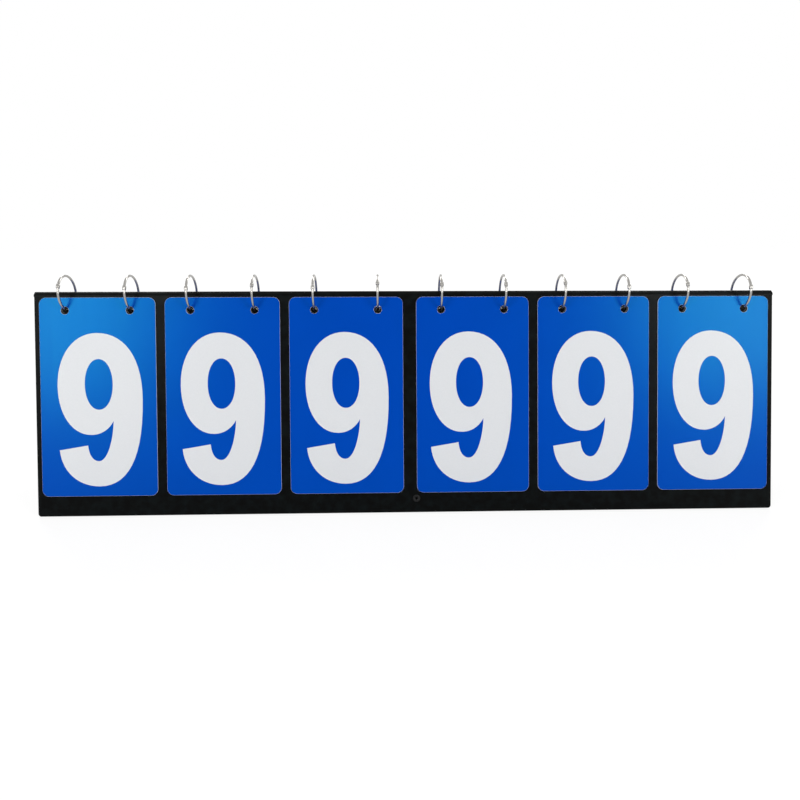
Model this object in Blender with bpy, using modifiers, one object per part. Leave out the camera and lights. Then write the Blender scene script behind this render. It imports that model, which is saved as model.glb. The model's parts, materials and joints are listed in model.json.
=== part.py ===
"""Flip scoreboard: a folding tent of two wrapped boards, with six columns of number cards on steel rings.

Metres, +Z up, the front faces -Y and +X is to its right. The board stands on its two lower edges,
and the origin is midway between them on the surface it stands on.
"""

from math import cos, hypot, pi, radians, sin, sqrt

import bmesh
import bpy
from mathutils import Matrix

MM = 0.001

# The boards: a leatherette cover folded round a greyboard core, with a thin lining inside
SIDE_MARGIN = 4.5 * MM
FOOT_MARGIN = 16.75 * MM
LEAN = radians(15.0)
COVER_THICKNESS = 0.7 * MM
COVER_RIM = 0.9 * MM
CORE_THICKNESS = 1.5 * MM
LINING_THICKNESS = 0.5 * MM
LAYER_GAP = 0.3 * MM
INNER_OFFSET = 1.0 * MM
BOARD_CORNER = 2.5 * MM
CORNER_STEPS = 3
LINING_MARGIN = 6.0 * MM
RIDGE_STEPS = 10

# The rings: closed loose-leaf rings, one turn centre above the centre of the ridge's curve
RING_WIRE = 2.0 * MM
RING_RISE = 3.0 * MM
WIRE_DEPTH = 10.6 * MM
RING_STEPS = 28
WIRE_SIDES = 6
WIRE_SMOOTHING = radians(70.0)
SMOOTHING = radians(35.0)

# The cards
COLUMNS = 6
COLUMN_SPACE = 7.5 * MM
CENTRE_EXTRA = 3.5 * MM
CARD_WIDTH = 94.0 * MM
CARD_HEIGHT = 163.0 * MM
CARD_THICKNESS = 0.4 * MM
CARD_CORNER = 5.5 * MM
HOLE_DIAMETER = 6.4 * MM
HOLE_SPACING = 52.5 * MM
HOLE_DEPTH = 10.5 * MM
CARD_SLACK = 1.15 * MM
STACK_SLACK = 0.6 * MM
STACK_THICKNESS = 3.6 * MM
CARD_GAP = 0.3 * MM
HOLE_SIDES = 12
PANEL_HOLE_SIDES = 10

# The spreader strap and its fasteners
STRAP_WIDTH = 20.0 * MM
STRAP_THICKNESS = 1.0 * MM
STRAP_TAB = 11.0 * MM
STRAP_BEND = 2.0 * MM
BEND_STEPS = 4
SPAN_HEIGHT = 4.5 * MM
SNAP_SIDE = 5.0 * MM
SNAP_HEIGHT = 12.0 * MM
EYELET_FLANGE = 6.2 * MM
EYELET_BARREL = 3.2 * MM
EYELET_BORE = 2.0 * MM
FLANGE_THICKNESS = 0.5 * MM
STUD_FLANGE = 9.0 * MM
STUD_KNOB = 4.6 * MM
STUD_HEIGHT = 1.6 * MM
SOCKET_FLANGE = 9.6 * MM
SOCKET_THICKNESS = 1.0 * MM
CAP_FLANGE = 9.6 * MM
FASTENER_GAP = 0.3 * MM
FASTENER_SIDES = 16

# Sizes and places that follow
COLUMN_PITCH = CARD_WIDTH + COLUMN_SPACE
BOARD_WIDTH = COLUMNS * CARD_WIDTH + (COLUMNS - 1) * COLUMN_SPACE + CENTRE_EXTRA + 2 * SIDE_MARGIN
BOARD_LENGTH = WIRE_DEPTH - (HOLE_DEPTH - CARD_SLACK) + CARD_HEIGHT + FOOT_MARGIN
COVER_OFFSET = (
    INNER_OFFSET + LINING_THICKNESS + LAYER_GAP + CORE_THICKNESS + LAYER_GAP
)
OUTER_OFFSET = COVER_OFFSET + COVER_THICKNESS
ARC_Y = RING_RISE * sin(LEAN)
ARC_Z = -RING_RISE * cos(LEAN)
AXIS_HEIGHT = BOARD_LENGTH * cos(LEAN) - INNER_OFFSET * sin(LEAN) + RING_RISE
FRONT_CARD_OFFSET = OUTER_OFFSET + CARD_GAP + CARD_THICKNESS / 2
STACK_OFFSET = OUTER_OFFSET + CARD_GAP + STACK_THICKNESS / 2
BACK_CARD_OFFSET = STACK_OFFSET + STACK_THICKNESS / 2 + CARD_GAP + CARD_THICKNESS / 2
RING_RADIUS = hypot(ARC_Y - FRONT_CARD_OFFSET, ARC_Z - WIRE_DEPTH)
FASTENER_DEPTH = BOARD_LENGTH - SNAP_HEIGHT
STUD_OFFSET = INNER_OFFSET - FASTENER_GAP
SOCKET_OFFSET = STUD_OFFSET - FLANGE_THICKNESS - FASTENER_GAP
SNAP_STRAP_OFFSET = SOCKET_OFFSET - SOCKET_THICKNESS - FASTENER_GAP - STRAP_THICKNESS / 2
RIVET_STRAP_OFFSET = INNER_OFFSET - FASTENER_GAP - STRAP_THICKNESS / 2

parts = bpy.data.collections.new("flip_scoreboard")
cutters = bpy.data.collections.new("cutters")


def clear_scene():
    """Remove what the scene holds and link the two collections."""
    for thing in list(bpy.data.objects):
        bpy.data.objects.remove(thing)
    bpy.context.scene.collection.children.link(parts)
    bpy.context.scene.collection.children.link(cutters)


def material(name, colour, roughness, metallic=0.0):
    """A Principled material."""
    made = bpy.data.materials.new(name)
    made.use_nodes = True
    shader = made.node_tree.nodes["Principled BSDF"]
    shader.inputs["Base Color"].default_value = (*colour, 1.0)
    shader.inputs["Roughness"].default_value = roughness
    shader.inputs["Metallic"].default_value = metallic
    return made


def frame_empty(name, turned):
    """An empty on the fold axis whose local -Y is the panel's outward normal and +Z runs up the panel."""
    empty = bpy.data.objects.new(name, None)
    empty.location = (0.0, 0.0, AXIS_HEIGHT)
    empty.rotation_euler = (-LEAN, 0.0, pi if turned else 0.0)
    parts.objects.link(empty)
    return empty


def add_part(name, mesh, finish, parent=None, location=(0.0, 0.0, 0.0)):
    """Link a mesh as a named part, placed in its parent's frame."""
    if not mesh.materials:
        mesh.materials.append(finish)
    made = bpy.data.objects.new(name, mesh)
    parts.objects.link(made)
    made.parent = parent
    made.location = location
    return made


def box_mesh(name, width, low_y, high_y, low_z, high_z, corner):
    """A box with its four edges along Y rounded."""
    bm = bmesh.new()
    bmesh.ops.create_cube(bm, size=1.0)
    along_y = [e for e in bm.edges if e.verts[0].co.y != e.verts[1].co.y]
    bmesh.ops.scale(bm, vec=(width, high_y - low_y, high_z - low_z), verts=bm.verts)
    middle = (0.0, (low_y + high_y) / 2, (low_z + high_z) / 2)
    bmesh.ops.translate(bm, vec=middle, verts=bm.verts)
    bmesh.ops.bevel(
        bm, geom=along_y, offset=corner, segments=CORNER_STEPS, profile=0.5, affect="EDGES",
    )
    mesh = bpy.data.meshes.new(name)
    bm.to_mesh(mesh)
    bm.free()
    return mesh


def drill_mesh(name, places, diameter, low_y, high_y, sides=HOLE_SIDES):
    """Cylinders along Y at each (x, z) place, as one cutter mesh."""
    bm = bmesh.new()
    for x, z in places:
        turn = Matrix.Translation((x, (low_y + high_y) / 2, z)) @ Matrix.Rotation(pi / 2, 4, "X")
        bmesh.ops.create_cone(
            bm, cap_ends=True, segments=sides, radius1=diameter / 2, radius2=diameter / 2,
            depth=high_y - low_y, matrix=turn,
        )
    mesh = bpy.data.meshes.new(name)
    bm.to_mesh(mesh)
    bm.free()
    return mesh


def cut(part, name, mesh, frame=None):
    """Cut a mesh, given in the frame of the part or of an empty, out of the part."""
    tool = bpy.data.objects.new(name, mesh)
    cutters.objects.link(tool)
    tool.parent = frame or part
    tool.hide_render = True
    tool.display_type = "WIRE"
    step = part.modifiers.new(name, "BOOLEAN")
    step.operation = "DIFFERENCE"
    step.solver = "EXACT"
    step.object = tool


def turned_mesh(name, profile):
    """A solid turned round Y from (radius, y) pairs, closed on itself or at the axis."""
    bm = bmesh.new()
    points = [bm.verts.new((radius, y, 0.0)) for radius, y in profile]
    edges = [bm.edges.new(pair) for pair in zip(points, points[1:])]
    if profile[0][0] > 0.0:
        edges.append(bm.edges.new((points[-1], points[0])))
    bmesh.ops.spin(
        bm, geom=points + edges, cent=(0.0, 0.0, 0.0), axis=(0.0, 1.0, 0.0),
        angle=2 * pi, steps=FASTENER_SIDES, use_merge=True,
    )
    bmesh.ops.remove_doubles(bm, verts=bm.verts, dist=1e-6)
    bmesh.ops.recalc_face_normals(bm, faces=bm.faces)
    mesh = bpy.data.meshes.new(name)
    bm.to_mesh(mesh)
    bm.free()
    return mesh


def smooth(part, angle=SMOOTHING):
    """Shade smooth with sharp edges kept."""
    part.data.shade_smooth()
    part.data.set_sharp_from_angle(angle=angle)


def at_offset(offset):
    """Local Y of a distance outwards from the ridge's centre line."""
    return ARC_Y - offset


def at_depth(depth):
    """Local Z of a distance down the panel from the ridge."""
    return ARC_Z - depth


def wire_height(offset):
    """Local Z at which the rings' wire crosses the plane at an offset."""
    return -sqrt(RING_RADIUS**2 - at_offset(offset) ** 2)


def column_x(column):
    """Middle of a column, counted from the left as seen from the front, with the wider gap at the centre."""
    steps = column - (COLUMNS - 1) / 2
    return steps * COLUMN_PITCH + (CENTRE_EXTRA / 2 if steps > 0.0 else -CENTRE_EXTRA / 2)


def ring_places():
    """X of every ring, as (column, side, x)."""
    return [
        (column, side, column_x(column) + sign * HOLE_SPACING / 2)
        for column in range(COLUMNS)
        for side, sign in (("left", -1), ("right", 1))
    ]


def panel(label, parent, finishes, fastener_x):
    """One wrapped board: cover, core and lining, drilled for the rings and the strap's fastener."""
    middle = (INNER_OFFSET + OUTER_OFFSET) / 2
    holes = [(x, wire_height(middle)) for _, _, x in ring_places()]
    fastener = [(fastener_x, at_depth(FASTENER_DEPTH))]
    inside = at_offset(0.0)
    outside = at_offset(OUTER_OFFSET + CARD_GAP)
    barrel = EYELET_BARREL + 2 * FASTENER_GAP
    bottom = at_depth(BOARD_LENGTH)
    cover_mesh = box_mesh(
        label + "_cover", BOARD_WIDTH, at_offset(OUTER_OFFSET), at_offset(INNER_OFFSET),
        bottom, at_depth(LAYER_GAP), BOARD_CORNER,
    )
    cover = add_part(label + "_cover", cover_mesh, finishes["leatherette"], parent)
    pocket = box_mesh(
        label + "_pocket", BOARD_WIDTH - 2 * COVER_RIM, at_offset(COVER_OFFSET), inside,
        bottom + COVER_RIM, at_depth(-COVER_RIM), BOARD_CORNER - COVER_RIM,
    )
    cut(cover, label + "_pocket", pocket)
    core_low = at_offset(COVER_OFFSET - LAYER_GAP)
    core_high = core_low + CORE_THICKNESS
    core_mesh = box_mesh(
        label + "_board", BOARD_WIDTH - 2 * (COVER_RIM + LAYER_GAP), core_low, core_high,
        bottom + COVER_RIM + LAYER_GAP, at_depth(2 * LAYER_GAP), BOARD_CORNER - COVER_RIM,
    )
    core = add_part(label + "_board", core_mesh, finishes["greyboard"], parent)
    lining_high = at_offset(INNER_OFFSET)
    lining_mesh = box_mesh(
        label + "_lining", BOARD_WIDTH - 2 * LINING_MARGIN, lining_high - LINING_THICKNESS, lining_high,
        bottom + LINING_MARGIN, at_depth(2 * LAYER_GAP), BOARD_CORNER,
    )
    lining = add_part(label + "_lining", lining_mesh, finishes["lining"], parent)
    for part in (cover, core, lining):
        drill = part.name + "_ring_holes"
        cut(part, drill, drill_mesh(drill, holes, HOLE_DIAMETER, outside, inside, PANEL_HOLE_SIDES))
        drill = part.name + "_fastener_hole"
        cut(part, drill, drill_mesh(drill, fastener, barrel, outside, inside))


def ridge_strip(finishes):
    """The leatherette that joins the two boards over the ridge, curved about the ridge's centre."""
    bm = bmesh.new()
    half = pi / 2 - LEAN
    left = -BOARD_WIDTH / 2
    row = []
    for step in range(RIDGE_STEPS + 1):
        angle = -half + 2 * half * step / RIDGE_STEPS
        row.append(bm.verts.new((left, sin(angle) * OUTER_OFFSET, cos(angle) * OUTER_OFFSET)))
    edges = [bm.edges.new(pair) for pair in zip(row, row[1:])]
    swept = bmesh.ops.extrude_edge_only(bm, edges=edges)
    moved = [v for v in swept["geom"] if isinstance(v, bmesh.types.BMVert)]
    bmesh.ops.translate(bm, vec=(BOARD_WIDTH, 0.0, 0.0), verts=moved)
    bmesh.ops.recalc_face_normals(bm, faces=bm.faces)
    if bm.faces[:][0].normal.z < 0.0:
        bmesh.ops.reverse_faces(bm, faces=bm.faces)
    mesh = bpy.data.meshes.new("ridge_strip")
    bm.to_mesh(mesh)
    bm.free()
    arc_centre = (0.0, 0.0, AXIS_HEIGHT - RING_RISE)
    strip = add_part("ridge_strip", mesh, finishes["leatherette"], None, arc_centre)
    wall = strip.modifiers.new("wall", "SOLIDIFY")
    wall.thickness = COVER_THICKNESS
    wall.offset = -1.0
    smooth(strip)


def card_mesh(name, thickness, slack):
    """A card or a stack of cards, whose origin lies where the wire passes through its holes."""
    top = HOLE_DEPTH - slack
    mesh = box_mesh(name, CARD_WIDTH, -thickness / 2, thickness / 2, top - CARD_HEIGHT, top, CARD_CORNER)
    blank = bpy.data.objects.new(name + "_blank", mesh)
    parts.objects.link(blank)
    holes = [(-HOLE_SPACING / 2, -slack), (HOLE_SPACING / 2, -slack)]
    cut(blank, name + "_holes", drill_mesh(name + "_holes", holes, HOLE_DIAMETER, -thickness, thickness))
    ready = blank.evaluated_get(bpy.context.evaluated_depsgraph_get())
    made = bpy.data.meshes.new_from_object(ready)
    made.name = name
    tool = bpy.data.objects[name + "_holes"]
    bpy.data.objects.remove(tool)
    bpy.data.objects.remove(blank)
    return made


def ring_mesh():
    """A closed steel ring that stands across the ridge."""
    bm = bmesh.new()
    wire = RING_WIRE / 2
    turns = [2 * pi * side / WIRE_SIDES for side in range(WIRE_SIDES)]
    loop = [bm.verts.new((wire * sin(turn), 0.0, RING_RADIUS + wire * cos(turn))) for turn in turns]
    edges = [bm.edges.new((loop[k], loop[(k + 1) % WIRE_SIDES])) for k in range(WIRE_SIDES)]
    bmesh.ops.spin(
        bm, geom=loop + edges, cent=(0.0, 0.0, 0.0), axis=(1.0, 0.0, 0.0),
        angle=2 * pi, steps=RING_STEPS, use_merge=True,
    )
    bmesh.ops.remove_doubles(bm, verts=bm.verts, dist=1e-6)
    bmesh.ops.recalc_face_normals(bm, faces=bm.faces)
    mesh = bpy.data.meshes.new("ring")
    bm.to_mesh(mesh)
    bm.free()
    return mesh


def panel_point(sign, offset, depth):
    """World (y, z) at an offset outwards and a depth down a panel; sign is -1 at the front, 1 at the back."""
    ridge_z = AXIS_HEIGHT - RING_RISE
    y = sign * (offset * cos(LEAN) + depth * sin(LEAN))
    return y, ridge_z + offset * sin(LEAN) - depth * cos(LEAN)


def strap_half(sign, offset, span_z):
    """Half of the strap's path: down one lining, round the bend and into the level span."""
    bend_z = span_z + STRAP_BEND * (1.0 + sin(LEAN))
    ridge_z = AXIS_HEIGHT - RING_RISE
    bend_depth = (ridge_z + offset * sin(LEAN) - bend_z) / cos(LEAN)
    tab_y, tab_z = panel_point(sign, offset, FASTENER_DEPTH - STRAP_TAB)
    bend_y, _ = panel_point(sign, offset, bend_depth)
    centre_y = bend_y - sign * STRAP_BEND * cos(LEAN)
    centre_z = bend_z - STRAP_BEND * sin(LEAN)
    path = [(tab_y, tab_z)]
    for step in range(BEND_STEPS + 1):
        angle = LEAN - (pi / 2 + LEAN) * step / BEND_STEPS
        path.append((centre_y + sign * STRAP_BEND * cos(angle), centre_z + STRAP_BEND * sin(angle)))
    return path


def spreader_strap(finish, front, back):
    """The strap that sets how far the tent opens, snapped to the front and riveted to the back."""
    path = strap_half(-1, SNAP_STRAP_OFFSET, SPAN_HEIGHT)
    path += list(reversed(strap_half(1, RIVET_STRAP_OFFSET, SPAN_HEIGHT)))
    bm = bmesh.new()
    row = [bm.verts.new((SNAP_SIDE - STRAP_WIDTH / 2, y, z)) for y, z in path]
    edges = [bm.edges.new(pair) for pair in zip(row, row[1:])]
    swept = bmesh.ops.extrude_edge_only(bm, edges=edges)
    moved = [v for v in swept["geom"] if isinstance(v, bmesh.types.BMVert)]
    bmesh.ops.translate(bm, vec=(STRAP_WIDTH, 0.0, 0.0), verts=moved)
    bmesh.ops.recalc_face_normals(bm, faces=bm.faces)
    mesh = bpy.data.meshes.new("spreader_strap")
    bm.to_mesh(mesh)
    bm.free()
    made = add_part("spreader_strap", mesh, finish)
    wall = made.modifiers.new("wall", "SOLIDIFY")
    wall.thickness = STRAP_THICKNESS
    wall.offset = 0.0
    reach = 2 * STRAP_THICKNESS
    for label, frame, side, offset in (
        ("snap", front, SNAP_SIDE, SNAP_STRAP_OFFSET),
        ("rivet", back, -SNAP_SIDE, RIVET_STRAP_OFFSET),
    ):
        middle = at_offset(offset)
        place = [(side, at_depth(FASTENER_DEPTH))]
        width = EYELET_BARREL + 2 * FASTENER_GAP
        hole = drill_mesh("strap_" + label + "_hole", place, width, middle - reach, middle + reach)
        cut(made, "strap_" + label + "_hole", hole, frame)


def flanged_tube(name, flange, barrel, bore, flange_offset, end_offset, inward=False):
    """A hollow rivet: a flange and a barrel along the panel's normal, as offsets from the ridge's centre."""
    face = at_offset(flange_offset)
    step = FLANGE_THICKNESS if not inward else -FLANGE_THICKNESS
    end = at_offset(end_offset)
    profile = [
        (bore / 2, face), (flange / 2, face), (flange / 2, face + step),
        (barrel / 2, face + step), (barrel / 2, end), (bore / 2, end),
    ]
    return turned_mesh(name, profile)


def fasteners(finishes, front, back):
    """The press stud at the front end of the strap and the tubular rivet at its back end."""
    front_place = (SNAP_SIDE, 0.0, at_depth(FASTENER_DEPTH))
    back_place = (-SNAP_SIDE, 0.0, at_depth(FASTENER_DEPTH))
    outside = OUTER_OFFSET + FASTENER_GAP + FLANGE_THICKNESS
    eyelet = flanged_tube("snap_eyelet", EYELET_FLANGE, EYELET_BARREL, EYELET_BORE, outside, INNER_OFFSET)
    stud_profile = [
        (0.0, at_offset(STUD_OFFSET)), (STUD_FLANGE / 2, at_offset(STUD_OFFSET)),
        (STUD_FLANGE / 2, at_offset(STUD_OFFSET - FLANGE_THICKNESS)),
        (STUD_KNOB / 2, at_offset(STUD_OFFSET - FLANGE_THICKNESS)),
        (STUD_KNOB / 2, at_offset(STUD_OFFSET - FLANGE_THICKNESS - STUD_HEIGHT)),
        (0.0, at_offset(STUD_OFFSET - FLANGE_THICKNESS - STUD_HEIGHT)),
    ]
    socket_bore = STUD_KNOB / 2 + FASTENER_GAP
    socket_profile = [
        (socket_bore, at_offset(SOCKET_OFFSET)), (SOCKET_FLANGE / 2, at_offset(SOCKET_OFFSET)),
        (SOCKET_FLANGE / 2, at_offset(SOCKET_OFFSET - SOCKET_THICKNESS)),
        (socket_bore, at_offset(SOCKET_OFFSET - SOCKET_THICKNESS)),
    ]
    cap = flanged_tube(
        "snap_cap", CAP_FLANGE, EYELET_BARREL, EYELET_BORE,
        SNAP_STRAP_OFFSET - STRAP_THICKNESS / 2 - FASTENER_GAP - FLANGE_THICKNESS,
        SNAP_STRAP_OFFSET + STRAP_THICKNESS / 2, inward=True,
    )
    post = flanged_tube(
        "rivet_post", EYELET_FLANGE, EYELET_BARREL, EYELET_BORE, outside,
        RIVET_STRAP_OFFSET - STRAP_THICKNESS / 2,
    )
    burr_low = RIVET_STRAP_OFFSET - STRAP_THICKNESS / 2 - FASTENER_GAP
    burr_profile = [
        (EYELET_BORE / 2, at_offset(burr_low)), (CAP_FLANGE / 2, at_offset(burr_low)),
        (CAP_FLANGE / 2, at_offset(burr_low - FLANGE_THICKNESS)),
        (EYELET_BORE / 2, at_offset(burr_low - FLANGE_THICKNESS)),
    ]
    stud = turned_mesh("snap_stud", stud_profile)
    socket = turned_mesh("snap_socket", socket_profile)
    burr = turned_mesh("rivet_burr", burr_profile)
    for mesh in (eyelet, stud, socket, cap):
        smooth(add_part(mesh.name, mesh, finishes["black_metal"], front, front_place))
    for mesh in (post, burr):
        smooth(add_part(mesh.name, mesh, finishes["black_metal"], back, back_place))


def columns(finishes, front, back):
    """The front card, the back card, the stack behind it and the two rings of each column."""
    card = card_mesh("card", CARD_THICKNESS, CARD_SLACK)
    stack = card_mesh("stack", STACK_THICKNESS, STACK_SLACK)
    ring = ring_mesh()
    for column in range(COLUMNS):
        x = column_x(column)
        label = f"column_{column + 1}_"
        front_place = (x, at_offset(FRONT_CARD_OFFSET), wire_height(FRONT_CARD_OFFSET))
        back_place = (-x, at_offset(BACK_CARD_OFFSET), wire_height(BACK_CARD_OFFSET))
        stack_place = (-x, at_offset(STACK_OFFSET), wire_height(STACK_OFFSET))
        add_part(label + "front_card", card, finishes["card_blue"], front, front_place)
        add_part(label + "back_card", card, finishes["card_blue"], back, back_place)
        add_part(label + "card_stack", stack, finishes["card_blue"], back, stack_place)
    for column, side, x in ring_places():
        name = f"column_{column + 1}_{side}_ring"
        smooth(add_part(name, ring, finishes["steel"], None, (x, 0.0, AXIS_HEIGHT)), WIRE_SMOOTHING)


def build():
    """Make every part."""
    clear_scene()
    finishes = {
        "leatherette": material("leatherette", (0.012, 0.014, 0.016), 0.45),
        "greyboard": material("greyboard", (0.30, 0.28, 0.25), 0.9),
        "lining": material("lining", (0.016, 0.016, 0.018), 0.7),
        "black_metal": material("black_metal", (0.02, 0.02, 0.022), 0.35, 0.6),
        "card_blue": material("card_blue", (0.0, 0.09, 0.50), 0.22),
        "steel": material("steel", (0.72, 0.72, 0.74), 0.18, 1.0),
    }
    front = frame_empty("front_frame", False)
    back = frame_empty("back_frame", True)
    panel("front", front, finishes, SNAP_SIDE)
    panel("back", back, finishes, -SNAP_SIDE)
    ridge_strip(finishes)
    spreader_strap(finishes["leatherette"], front, back)
    fasteners(finishes, front, back)
    columns(finishes, front, back)


build()
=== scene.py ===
"""Flip scoreboard: two leatherette boards hinged in a tent, with blue number cards on steel rings.

Metres, +Z up, the front faces -Y and +X is to its right. The sections follow the order of assembly.
"""

import json
from math import cos, hypot, pi, radians, sin, sqrt

import bmesh
import bpy
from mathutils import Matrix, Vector


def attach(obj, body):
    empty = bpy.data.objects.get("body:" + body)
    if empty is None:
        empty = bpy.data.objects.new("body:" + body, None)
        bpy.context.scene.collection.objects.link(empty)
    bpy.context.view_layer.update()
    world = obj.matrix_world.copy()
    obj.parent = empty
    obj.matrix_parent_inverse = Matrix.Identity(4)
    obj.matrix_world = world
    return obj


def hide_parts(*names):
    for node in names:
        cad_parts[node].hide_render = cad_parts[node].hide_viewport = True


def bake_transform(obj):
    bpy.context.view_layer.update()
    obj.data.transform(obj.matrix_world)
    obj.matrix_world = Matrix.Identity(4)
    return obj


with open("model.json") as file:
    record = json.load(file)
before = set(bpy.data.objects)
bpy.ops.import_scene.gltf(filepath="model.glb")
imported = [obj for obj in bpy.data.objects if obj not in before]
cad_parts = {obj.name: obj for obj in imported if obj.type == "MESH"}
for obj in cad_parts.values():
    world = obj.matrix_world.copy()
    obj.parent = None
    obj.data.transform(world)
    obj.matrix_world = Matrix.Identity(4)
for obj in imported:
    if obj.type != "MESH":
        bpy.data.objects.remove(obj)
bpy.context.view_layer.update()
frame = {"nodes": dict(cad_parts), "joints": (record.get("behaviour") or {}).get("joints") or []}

MM = 0.001

# The studio. A white table, and a large soft lamp at each corner of the table. The room in
# front of the board is dim, which is what keeps the black leatherette black in the photograph.
CAMERA_PLACE = (-0.0214, -0.4992, 0.2297)
CAMERA_TURN = (73.74, -0.03, -1.58)
CAMERA_LENS = 26.6
CAMERA_NEAR = 0.01
LAMP_DISTANCE = 1.25
LAMP_SIZE = (0.34, 0.50)
LAMP_AIM = Vector((0.0, 0.0, 0.10))
# Each lamp's name, azimuth and elevation in degrees, and watts.
LAMPS = (
    ("left_softbox", -42.0, 22.0, 4.9),
    ("right_softbox", 44.0, 22.0, 4.9),
    ("back_left_softbox", -138.0, 35.0, 4.6),
    ("back_right_softbox", 138.0, 35.0, 4.6),
)
ROOM_WHITE = "#FFFFFF"
ROOM_LOW, ROOM_HIGH = 0.35, 0.95
ROOM_DIM, ROOM_LIT = 0.06, 0.85
TABLE_WHITE = "#F4F4F4"
TABLE_SIZE = 12.0
TABLE_NEAR, TABLE_FAR = 0.5, 1.4
TABLE_GLOW = 1.06
NEAR_GLOW_SHARE = 0.80


def linear(hex_colour):
    """A colour written as sRGB hex, in the linear values that the shaders take."""
    parts = [int(hex_colour[start:start + 2], 16) / 255 for start in (1, 3, 5)]
    return tuple(c / 12.92 if c <= 0.04045 else ((c + 0.055) / 1.055) ** 2.4 for c in parts) + (1.0,)


def feed(tree, node, inputs):
    """Sets a node's inputs, each to a plain value or to a (node, output) link."""
    for name, value in inputs.items():
        if isinstance(value, tuple) and isinstance(value[0], bpy.types.Node):
            tree.links.new(value[0].outputs[value[1]], node.inputs[name])
        else:
            node.inputs[name].default_value = value


def add_node(tree, kind, inputs=None, **settings):
    """Adds a node, with its settings and its inputs."""
    node = tree.nodes.new("ShaderNode" + kind)
    for name, value in settings.items():
        setattr(node, name, value)
    feed(tree, node, inputs or {})
    return node


def seen_directly(tree):
    """1 for rays from the camera, through glass or off a shiny surface, and 0 for the light itself."""
    ray = add_node(tree, "LightPath")
    shiny = add_node(
        tree, "Math", {0: (ray, "Is Glossy Ray"), 1: (ray, "Is Transmission Ray")},
        operation="MAXIMUM",
    )
    return add_node(tree, "Math", {0: (ray, "Is Camera Ray"), 1: (shiny, 0)}, operation="MAXIMUM")


stage = bpy.context.scene
stage.view_settings.view_transform = "Standard"
camera = bpy.data.objects.new("camera", bpy.data.cameras.new("camera"))
camera.location = CAMERA_PLACE
camera.rotation_euler = [radians(angle) for angle in CAMERA_TURN]
camera.data.lens = CAMERA_LENS
camera.data.clip_start = CAMERA_NEAR
stage.collection.objects.link(camera)
stage.camera = camera

for name, azimuth, elevation, power in LAMPS:
    lamp = bpy.data.objects.new(name, bpy.data.lights.new(name, "AREA"))
    lamp.data.shape = "RECTANGLE"
    lamp.data.size, lamp.data.size_y = LAMP_SIZE
    lamp.data.energy = power
    towards = Vector((sin(radians(azimuth)), -cos(radians(azimuth)), 0.0)) * cos(radians(elevation))
    towards.z = sin(radians(elevation))
    lamp.location = LAMP_AIM + towards * LAMP_DISTANCE
    lamp.rotation_euler = towards.to_track_quat("Z", "Y").to_euler()
    stage.collection.objects.link(lamp)

# The room is dim low down and glows towards its ceiling, and it reads as plain white when looked at.
room = bpy.data.worlds.new("room")
room.use_nodes = True
tree = room.node_tree
tree.nodes.clear()
seen = seen_directly(tree)
direction = add_node(tree, "TexCoord")
height = add_node(tree, "SeparateXYZ", {0: (direction, "Generated")})
glow = add_node(
    tree, "MapRange", {0: (height, "Z"), 1: ROOM_LOW, 2: ROOM_HIGH, 3: ROOM_DIM, 4: ROOM_LIT},
    interpolation_type="SMOOTHSTEP",
)
dim = add_node(tree, "Background", {"Color": linear(ROOM_WHITE), "Strength": (glow, 0)})
white = add_node(tree, "Background", {"Color": linear(ROOM_WHITE), "Strength": 1.0})
backdrop = add_node(tree, "MixShader", {0: (seen, 0), 1: (dim, 0), 2: (white, 0)})
add_node(tree, "OutputWorld", {"Surface": (backdrop, 0)})
stage.world = room

# The table keeps the board's soft shadow near it, and fades into the room's white further out.
bpy.ops.object.select_all(action="DESELECT")
bpy.ops.mesh.primitive_plane_add(size=TABLE_SIZE)
table = bpy.context.object
table.name = "table"
paint = bpy.data.materials.new("white_table")
paint.use_nodes = True
tree = paint.node_tree
tree.nodes.clear()
seen = seen_directly(tree)
place = add_node(tree, "TexCoord")
away = add_node(tree, "VectorMath", {0: (place, "Object")}, operation="LENGTH")
sweep = add_node(
    tree, "MapRange", {0: (away, 1), 1: TABLE_NEAR, 2: TABLE_FAR, 3: NEAR_GLOW_SHARE, 4: 1.0},
)
share = add_node(tree, "Math", {0: (seen, 0), 1: (sweep, 0)}, operation="MULTIPLY")
lit = add_node(tree, "BsdfDiffuse", {"Color": linear(TABLE_WHITE)})
bright = add_node(tree, "Emission", {"Color": linear(ROOM_WHITE), "Strength": TABLE_GLOW})
mixed = add_node(tree, "MixShader", {0: (share, 0), 1: (lit, 0), 2: (bright, 0)})
add_node(tree, "OutputMaterial", {"Surface": (mixed, 0)})
table.data.materials.append(paint)

# The covers. Black PVC leatherette on a cloth back, glued round a 1.5 mm greyboard with its edges
# turned over to the inside, pressed nearly flat, and punched for the rings and for the strap.
LEAN = radians(15.0)
RING_RISE = 3.0 * MM
RING_RADIUS = 14.085 * MM
BOARD_LENGTH = 181.0 * MM
BOARD_HALF = 307.0 * MM
INNER_OFFSET = 1.0 * MM
COVER_OFFSET = 3.6 * MM
OUTER_OFFSET = 4.3 * MM
COVER_TOP = 0.3 * MM
COVER_RIM = 0.9 * MM
TURN_IN = 5.7 * MM
TURN_IN_THICKNESS = 0.6 * MM
BOARD_CORNER = 2.5 * MM
CORNER_STEPS = 6
EDGE_ROUND = 1.0 * MM
EDGE_STEPS = 4
TURN_IN_ROUND = 0.25 * MM
TURN_IN_STEPS = 2
HOLE_DIAMETER = 6.4 * MM
HOLE_SIDES = 32
HOLE_SPACING = 52.5 * MM
COLUMN_CENTRES = [x * MM for x in (-255.5, -154.0, -52.5, 52.5, 154.0, 255.5)]
SNAP_SIDE = 5.0 * MM
FASTENER_DEPTH = 169.0 * MM
FASTENER_HOLE = 3.8 * MM
BOARDS = (("front", False, SNAP_SIDE), ("back", True, -SNAP_SIDE))
PUNCH_REACH = 10 * MM
NEARLY = 0.01 * MM
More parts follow.
